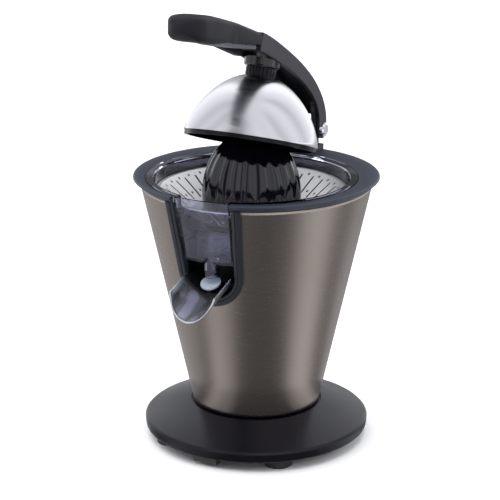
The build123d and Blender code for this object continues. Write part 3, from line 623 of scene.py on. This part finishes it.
def press_dome():
    """Spun steel dome with a rolled rim."""
    top = DOME_H * (1 - (DOME_NECK_R / DOME_R) ** 2) ** (1 / 1.45)
    heights = [top * (1 - (1 - i / 72) ** 1.6) for i in range(73)]
    outer = [(dome_radius(h), h) for h in heights]
    inner = [(dome_radius(h) - 0.8, h) for h in reversed(heights)]
    rim = [(DOME_R - 0.55, -0.1), (DOME_R - 0.15, 0.12)]
    obj = lathe("press_dome_skin", rim + outer[1:] + inner, DOME, 256, sharp_deg=50)
    finish_piece(obj, "dome", "dome_steel", DOME_METAL, "press_dome")


def ribbed_nut():
    """Collar nut with broad ribs."""
    ribs, columns = 22, 22 * 10
    low, high = 50.4, 58.3
    rows = [(9.0, low, 0), (11.6, low, 0), (12.1, low + 0.5, 0.4), (12.4, low + 1.2, 1),
            (12.4, high - 0.9, 1), (12.1, high - 0.2, 0.4), (11.6, high, 0), (9.0, high, 0)]
    rings = []
    for radius, z, ribbed in rows:
        ring = []
        for c in range(columns):
            wave = abs(math.sin(math.pi * ribs * c / columns)) ** 0.55
            ring.append(front(radius - 0.75 * ribbed * (1 - wave), math.tau * c / columns, z))
        rings.append(ring)
    obj = make("collar_nut", *loft(rings, along=True), DOME, 45)
    finish_piece(obj, "dome", "nut_black", LINER_BLACK, "dome_nut")


press_dome()
ribbed_nut()


# ---------------------------------------------------------------- arm and handle

CREST = [(-123.45, 364.0), (-116, 367.0), (-93.5, 364.2), (-67, 356.5), (-39.5, 347.0), (-10.5, 336.0),
         (18, 321.6), (39, 309.6), (60.5, 295.4), (77, 281.6), (89, 268.0), (96, 255.0), (98, 244.0)]
UNDER = [(-123.45, 352.0), (-112, 346.8), (-85.7, 339.6), (-65.7, 334.6), (-41.3, 329.4), (-24, 325.6),
         (-6, 318.2), (10, 310.4), (28.6, 301.0), (45.5, 291.2), (60.8, 280.6), (71.8, 271.0),
         (79.8, 261.0), (83.4, 252.0), (84, 244.0)]
TIP_Y = CREST[0][0]
STRIP_HALF = 15.2
GRIP_LENGTH = 105.0
INTO_ARM = 4.5


def seam_y(z):
    """The seam between grip and arm leans forward towards the underside."""
    return -20.0 + (z - 337) * 3.4 / 9.0


def up_to_seam(line):
    """The part of a (y, z) line that lies ahead of the seam."""
    for i in range(len(line) - 1):
        a, b = (p.x - seam_y(p.y) for p in line[i:i + 2])
        if a <= 0 < b:
            return line[:i + 1] + [line[i].lerp(line[i + 1], -a / (b - a))]
    raise ValueError("the line doesn't reach the seam")


grip_top, grip_low = up_to_seam(smooth_line(CREST)), up_to_seam(smooth_line(UNDER))


def nose_shares(count, length):
    """Shares of a line, packed closely over its first length (given as a share)."""
    near = [length * (1 - math.cos(math.pi / 2 * k / 10)) for k in range(10)]
    return near + [length + (1 - length) * k / (count - 1) for k in range(count)]


def bar_ring(crest, under, half, crown, corner, low_corner):
    """Ring of a closed bar section between a crest and an underside point, with a crowned top."""
    span = (under - crest).length
    flat = rounded([(-half, span, low_corner), (-half, crown, corner), (-half * 0.45, crown * 0.18, 20),
                    (half * 0.45, crown * 0.18, 20), (half, crown, corner), (half, span, low_corner)],
                   step_deg=12)
    down = (under - crest) / max(span, 1e-6)
    return [(x, crest.x + down.x * d, crest.y + down.y * d) for x, d in flat]


def strip_share(y):
    """How far the strip has come out of the grip: none at the nose, all of it from its middle on."""
    t = max(0.0, min(1.0, (y - TIP_Y - 20.0) / 42.0))
    return t * t * (3 - 2 * t)


# Known fault in the two covers below: rounded() gives some of their rings two points more than others, so
# the faces along them fall behind and stop short of the last rings, which lie inside the arm.

def handle_grip():
    """Soft upper cover of the handle with a round nose."""
    shares = nose_shares(40, ARM_HALF / GRIP_LENGTH)
    tops, lows = resample(grip_top, shares), resample(grip_low, shares)
    rings = []
    for crest, under in zip(tops, lows):
        run = min(ARM_HALF, crest.x - TIP_Y)
        half = max(0.8, math.sqrt(max(0.0, ARM_HALF ** 2 - (ARM_HALF - run) ** 2)))
        size = half / ARM_HALF
        up = (crest - under).normalized()
        out = strip_share(under.x)
        floor = under + up * (4.6 * out + 3.4 * (1 - size))
        crest = crest - up * 3.6 * (1 - size)
        crown, corner, low_corner = 0.9 + 1.2 * (1 - out), 3.2 + 5.8 * (1 - out), 0.6 + 4.6 * (1 - out)
        rings.append(bar_ring(crest, floor, half, crown * size, corner * size, low_corner * size))
    into = (tops[-1] - tops[-2]).normalized() * INTO_ARM
    inset_half = ARM_HALF - 0.15
    rings.append(bar_ring(crest - up * 0.15, floor + up * 0.1, inset_half, 0.5, 1.2, 0.6))
    rings.append(bar_ring(crest - up * 0.3 + into, floor + up * 0.1 + into, inset_half, 0.5, 1.2, 0.6))
    obj = make("handle_cover", *loft(rings, caps=True), BODY, 50)
    finish_piece(obj, "lever", "grip_soft", SOFT_GRIP, "handle_grip")


def handle_strip():
    """Lighter strip along the underside of the handle."""
    shares = nose_shares(40, ARM_HALF / GRIP_LENGTH)
    tops, lows = resample(grip_top, shares), resample(grip_low, shares)
    rings = []
    for crest, under in zip(tops, lows):
        run = min(15.0, crest.x - TIP_Y - 6.0)
        if run <= 0:
            continue
        half = max(0.6, math.sqrt(max(0.0, STRIP_HALF ** 2 - (STRIP_HALF - run) ** 2)))
        up = (crest - under).normalized()
        top = under + up * (5.2 + 3.4 * (1 - strip_share(under.x)))
        flat = rounded([(-half, 0.0), (-half, 1.5), (-half + 0.5, 1.7), (-half + 0.5, 2.3), (-half, 2.5),
                        (-half, 4.9, 1.6), (0, 5.5), (half, 4.9, 1.6), (half, 2.5), (half - 0.5, 2.3),
                        (half - 0.5, 1.7), (half, 1.5), (half, 0.0)], step_deg=20)
        rings.append([(x, (top - up * d * 0.94).x, (top - up * d * 0.94).y) for x, d in flat])
    into = (lows[-1] - lows[-2]).normalized() * INTO_ARM
    rings.append([(x, y + into.x, z + into.y + 0.25) for x, y, z in rings[-1]])
    obj = make("handle_strip", *loft(rings, caps=True), BODY, 35)
    finish_piece(obj, "lever", "strip_grey", STRIP_GREY, "handle_lower_cover")


def arm_gusset():
    """Thin dark wedge under the handle, in front of the collar."""
    outline = [(-66.5, 335.2), (-31, 327.6), (-31, 321.4), (-49, 328.3)]
    obj = prism("arm_gusset", outline, -4.0, 4.0, BODY, 0.7)
    finish_piece(obj, "lever", "collar_black", FAIRING_BLACK, "arm_fairing")


handle_grip()
handle_strip()
arm_gusset()


# ---------------------------------------------------------------- spout

SLOPE = math.radians(17.0)
LIP_AT = Vector((0, -108.0 + AXIS_Y, 147.7 + LIFT))
SPOUT = Matrix.Translation(LIP_AT * MM) @ Matrix((
    (0, -1, 0, 0), (-math.cos(SLOPE), 0, -math.sin(SLOPE), 0), (-math.sin(SLOPE), 0, math.cos(SLOPE), 0),
    (0, 0, 0, 1)))


def spout_gutter():
    """Rolled gutter: local X runs out along the spout, Z up, with a bead on its slanting lip."""
    radius, rise, back = 20.3, 3.6, -28.0
    edge = math.asin(rise / radius)
    rings = []
    for k in range(65):
        angle = math.pi + edge + (math.pi - 2 * edge) * k / 64
        y, z = math.cos(angle), math.sin(angle)
        depth = -(rise + radius * z)
        tip = 0.85 * max(0.0, depth)
        wall = [(back, 0.0), (tip - 3, 0.0)]
        bead = [(tip - 0.9, 0.0), (tip - 0.2, 0.25), (tip + 0.2, -0.1), (tip + 0.25, -0.7), (tip - 0.1, -1.1),
                (tip - 0.8, -1.2), (tip - 1.2, -0.9)]
        inside = [(tip - 1.6, -0.8), (tip - 3, -0.8), (back, -0.8)]
        rings.append([(x, (radius + out) * y, rise + (radius + out) * z) for x, out in wall + bead + inside])
    obj = make("spout_gutter", *loft(rings, caps=True), SPOUT, 40)
    finish_piece(obj, "spout", "spout_steel", SPOUT_METAL, "spout")


spout_gutter()


# ---------------------------------------------------------------- return spring

def coil_spring():
    """Spring under the switch plunger."""
    low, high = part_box("return_spring")
    wire, radius, turns = 0.6, (high.x - low.x) / 2 / MM - 0.6, 5
    bottom, top = low.z / MM + wire, high.z / MM - wire
    rings = []
    for k in range(turns * 24 + 1):
        angle = math.tau * k / 24
        rings.append([front(radius + wire * math.cos(turn), angle,
                            bottom + (top - bottom) * k / (turns * 24) + wire * math.sin(turn))
                      for turn in (math.tau * i / 10 for i in range(10))])
    obj = make("return_spring_coil", *loft(rings, caps=True), at(0, BOWL_Y, 0), 60)
    finish_piece(obj, "stand", "screw_steel", MACHINED, "return_spring")
    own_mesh(obj)


coil_spring()


# ---------------------------------------------------------------- CAD nodes that stay as they are

KEPT = {
    UNDER_PLASTIC: ("base_cover", "front_lug", "cord_gland", "terminal_block", "inner_frame", "bowl_shelf",
                    "hinge_bush", "hinge_washers", "microswitch", "motor_end_cap", "cooling_fan",
                    "gearbox_housing", "gearbox_cover", "switch_plunger"),
    RUBBER: ("rubber_feet", "shaft_seal"),
    DULL_BLACK: ("spout_well", "spout_carrier", "arm_liner"),
    BEZEL_PLASTIC: ("hinge_post",),
    LINER_BLACK: ("dome_liner", "dome_lip"),
    COLLAR_BLACK: ("collar",),
    ARM_PAINT: ("lever_arm", "hinge_ears"),
    CHROME: ("hinge_pin", "pin_caps"),
    SIEVE_METAL: ("strainer", "strainer_hub"),
    DISC_GREY: ("drip_stop_disc",),
    BOWL_CLEAR: ("juice_bowl",),
    MACHINED: ("dome_stem", "drive_spindle", "idler_axle", "motor_shaft", "spout_pivot_pins", "base_screws",
               "gearbox_screws", "idler_pinion", "motor_pinion", "switch_bracket", "motor_mount",
               "motor_can", "motor_stator", "motor_rotor"),
    BRASS: ("lower_bush", "upper_bush"),
    GEAR_WHITE: ("output_gear", "idler_wheel"),
}
for material, names in KEPT.items():
    for name in names:
        for place in frame["nodes"][name].material_slots:
            place.material = material


# ---------------------------------------------------------------- floor, light and camera

scene = bpy.context.scene
scene.view_settings.view_transform = "Standard"


def pale_floor():
    reach = 9.0
    mesh = bpy.data.meshes.new("floor")
    mesh.from_pydata([(-reach, -reach, 0), (reach, -reach, 0), (reach, reach, 0), (-reach, reach, 0)], [],
                     [(0, 1, 2, 3)])
    obj = bpy.data.objects.new("floor", mesh)
    scene.collection.objects.link(obj)
    obj.data.materials.append(principled("floor_white", (0.93, 0.93, 0.93), 0.55))


def cool_grey(level):
    return level * 0.98, level * 0.99, level * 1.05, 1


def azimuth_bands(tree, vector, levels):
    """Grey level by the direction round Z, in degrees from the front (-Y) towards +X."""
    split = tree.nodes.new("ShaderNodeSeparateXYZ")
    tree.links.new(vector, split.inputs[0])
    forward = tree.nodes.new("ShaderNodeMath")
    forward.operation = "MULTIPLY"
    forward.inputs[1].default_value = -1.0
    tree.links.new(split.outputs[1], forward.inputs[0])
    angle = tree.nodes.new("ShaderNodeMath")
    angle.operation = "ARCTAN2"
    tree.links.new(split.outputs[0], angle.inputs[0])
    tree.links.new(forward.outputs[0], angle.inputs[1])
    share = tree.nodes.new("ShaderNodeMapRange")
    share.inputs[1].default_value, share.inputs[2].default_value = -math.pi, math.pi
    tree.links.new(angle.outputs[0], share.inputs[0])
    bands = tree.nodes.new("ShaderNodeValToRGB")
    tree.links.new(share.outputs[0], bands.inputs[0])
    ramp = bands.color_ramp
    ramp.interpolation = "EASE"
    for degrees, level in levels[1:-1]:
        ramp.elements.new((degrees + 180) / 360).color = cool_grey(level)
    for element, level in ((ramp.elements[0], levels[0][1]), (ramp.elements[-1], levels[-1][1])):
        element.color = cool_grey(level)
    return bands.outputs[0], split.outputs[2]


WALLS = [(-180, 1.35), (-168, 0.75), (-154, 0.16), (-140, 0.60), (-128, 1.30), (-104, 0.95), (-84, 0.62),
         (-66, 0.90), (-50, 0.52), (-38, 0.88), (-26, 0.80), (-16, 0.72), (-10, 0.10), (-4, 0.12), (1, 0.55),
         (6, 0.14), (12, 0.18), (17, 0.70), (30, 0.72), (46, 0.95), (62, 0.76), (80, 0.95), (92, 0.50),
         (104, 0.86), (122, 0.98), (138, 0.62), (152, 0.95), (180, 1.35)]
TABLE = [(-180, 0.42), (-122, 0.58), (-95, 0.56), (-66, 0.48), (-43, 0.24), (-24, 0.76), (-6, 0.48),
         (8, 0.13), (25, 0.12), (46, 0.12), (62, 0.16), (71, 0.50), (82, 0.80), (94, 0.92), (103, 0.66),
         (116, 0.26), (130, 0.22), (147, 0.56), (160, 0.54), (180, 0.42)]


def soft_world():
    """Studio walls: light and dark upright bands round the object, lighter overhead."""
    world = bpy.data.worlds.new("studio")
    scene.world = world
    world.use_nodes = True
    tree = world.node_tree
    coords = tree.nodes.new("ShaderNodeTexCoord")
    bands, height = azimuth_bands(tree, coords.outputs["Generated"], WALLS)
    up = tree.nodes.new("ShaderNodeMapRange")
    up.inputs[1].default_value, up.inputs[2].default_value = 0.86, 0.99
    tree.links.new(height, up.inputs[0])
    mix = tree.nodes.new("ShaderNodeMix")
    mix.data_type = "RGBA"
    tree.links.new(up.outputs[0], mix.inputs[0])
    tree.links.new(bands, mix.inputs[6])
    mix.inputs[7].default_value = (0.86, 0.86, 0.90, 1)
    tree.links.new(mix.outputs[2], tree.nodes["Background"].inputs[0])


def table_glow():
    """Glow in bands by direction, dimmer towards the base and clear from below."""
    material = bpy.data.materials.new("table_bands")
    material.use_nodes = True
    tree = material.node_tree
    tree.nodes.remove(tree.nodes["Principled BSDF"])
    coords = tree.nodes.new("ShaderNodeTexCoord")
    bands, _ = azimuth_bands(tree, coords.outputs["Object"], TABLE)
    length = tree.nodes.new("ShaderNodeVectorMath")
    length.operation = "LENGTH"
    tree.links.new(coords.outputs["Object"], length.inputs[0])
    fade = tree.nodes.new("ShaderNodeMapRange")
    for index, value in ((1, 0.055), (2, 0.125), (3, 0.5), (4, 1.0)):
        fade.inputs[index].default_value = value
    tree.links.new(length.outputs["Value"], fade.inputs[0])
    glow = tree.nodes.new("ShaderNodeEmission")
    tree.links.new(bands, glow.inputs[0])
    tree.links.new(fade.outputs[0], glow.inputs[1])
    side = tree.nodes.new("ShaderNodeNewGeometry")
    clear = tree.nodes.new("ShaderNodeBsdfTransparent")
    mix = tree.nodes.new("ShaderNodeMixShader")
    tree.links.new(side.outputs["Backfacing"], mix.inputs[0])
    tree.links.new(glow.outputs[0], mix.inputs[1])
    tree.links.new(clear.outputs[0], mix.inputs[2])
    tree.links.new(mix.outputs[0], tree.nodes["Material Output"].inputs[0])
    return material


def table_card():
    """Card over and round the base that only reflections from above see: what the cone mirrors."""
    count = 96
    table_z = 0.4 - LIFT
    rings = [[(r * math.cos(math.tau * k / count), r * math.sin(math.tau * k / count), z)
              for k in range(count)] for r, z in ((56, 27.6), (93.6, 15.0), (98, table_z), (2200, table_z))]
    obj = make("table_card", *loft(rings), BODY)
    if obj.data.polygons[0].normal.z <= 0:
        obj.data.flip_normals()
    obj.data.materials.append(table_glow())
    for ray in ("camera", "diffuse", "transmission", "volume_scatter", "shadow"):
        setattr(obj, "visible_" + ray, False)


def softbox(name, spot, target, width, height, power):
    """Flat light that leaves no mirror image."""
    light = bpy.data.lights.new(name, "AREA")
    light.shape = "RECTANGLE"
    light.size, light.size_y, light.energy = width, height, power
    obj = bpy.data.objects.new(name, light)
    scene.collection.objects.link(obj)
    obj.location = spot
    obj.rotation_euler = (Vector(target) - Vector(spot)).to_track_quat("-Z", "Y").to_euler()
    obj.visible_glossy = False


def overhead_fill(strength):
    """Wide even light from above; it leaves no mirror image."""
    light = bpy.data.lights.new("light_overhead", "SUN")
    light.energy, light.angle = strength, math.radians(70)
    obj = bpy.data.objects.new("light_overhead", light)
    scene.collection.objects.link(obj)
    obj.rotation_euler = (math.radians(8), math.radians(-10), 0)
    obj.visible_glossy = False


pale_floor()
soft_world()
table_card()
overhead_fill(2.6)
softbox("light_left", (-1.1, -0.7, 0.75), (0, 0, 0.25), 0.35, 0.5, 3.0)
softbox("light_right", (1.25, -0.1, 0.75), (0, 0, 0.25), 0.35, 0.5, 3.0)
softbox("light_back", (0.55, 0.85, 0.42), (0.05, 0, 0.22), 0.35, 0.22, 2.0)

# Place, turn and lens were matched to the photo.
camera = bpy.data.objects.new("camera", bpy.data.cameras.new("camera"))
scene.collection.objects.link(camera)
camera.location = (0.6608, -1.2632, 0.6009 + LIFT * MM)
camera.rotation_euler = (math.radians(90 - 17.26), 0, math.radians(27.606))
camera.data.lens = 131.98
camera.data.sensor_width = 36
scene.camera = camera
